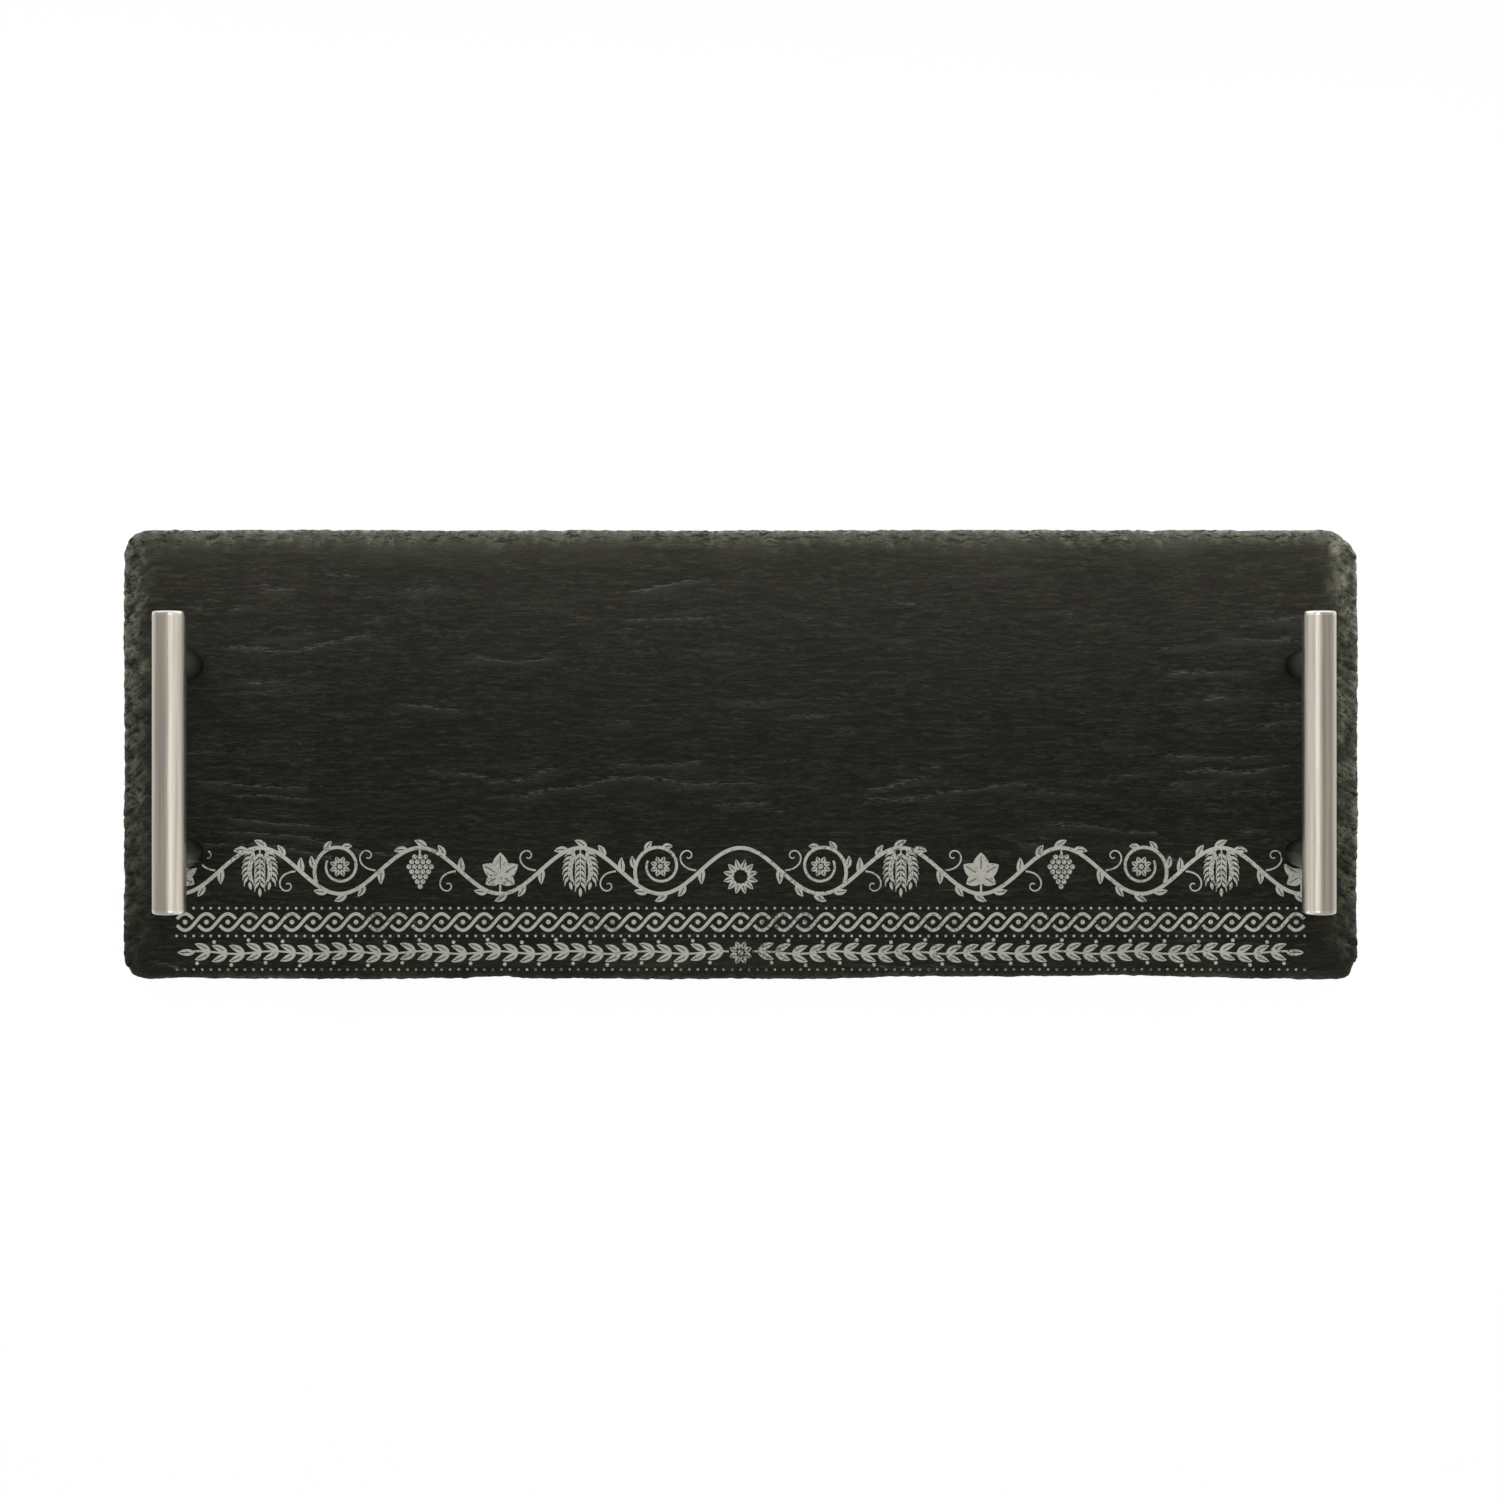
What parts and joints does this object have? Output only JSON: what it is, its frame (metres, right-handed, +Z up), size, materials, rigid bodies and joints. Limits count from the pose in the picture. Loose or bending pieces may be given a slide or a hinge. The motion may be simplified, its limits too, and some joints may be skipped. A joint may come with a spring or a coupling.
{
  "type": "slate serving board",
  "caption": "Long thin slate board with hand-dressed edges, a raised steel bar handle at each end, a printed ornament along its front and soft feet.",
  "frame": {"origin": "middle of the board's bounding box, in the plane that the feet stand on", "axes": "+X along the board's length, +Y from the printed front edge to the back, +Z up"},
  "size_m": [0.4638, 0.1688, 0.0465],
  "materials": {
    "slate": "matte",
    "brushed_stainless": "satin",
    "plain_steel": "satin",
    "rubber": "matte",
    "ink": "matte"
  },
  "bodies": {
    "root": {"slate_plate": "slate", "left_bar": "brushed_stainless", "right_bar": "brushed_stainless", "left_front_bar_cap": "brushed_stainless", "left_front_post": "brushed_stainless", "left_front_stud": "plain_steel", "left_front_gasket": "rubber", "left_front_screw": "plain_steel", "left_front_washer": "plain_steel", "left_front_foot": "rubber", "left_back_bar_cap": "brushed_stainless", "left_back_post": "brushed_stainless", "left_back_stud": "plain_steel", "left_back_gasket": "rubber", "left_back_screw": "plain_steel", "left_back_washer": "plain_steel", "left_back_foot": "rubber", "right_front_bar_cap": "brushed_stainless", "right_front_post": "brushed_stainless", "right_front_stud": "plain_steel", "right_front_gasket": "rubber", "right_front_screw": "plain_steel", "right_front_washer": "plain_steel", "right_front_foot": "rubber", "right_back_bar_cap": "brushed_stainless", "right_back_post": "brushed_stainless", "right_back_stud": "plain_steel", "right_back_gasket": "rubber", "right_back_screw": "plain_steel", "right_back_washer": "plain_steel", "right_back_foot": "rubber"}
  },
  "joints": []
}
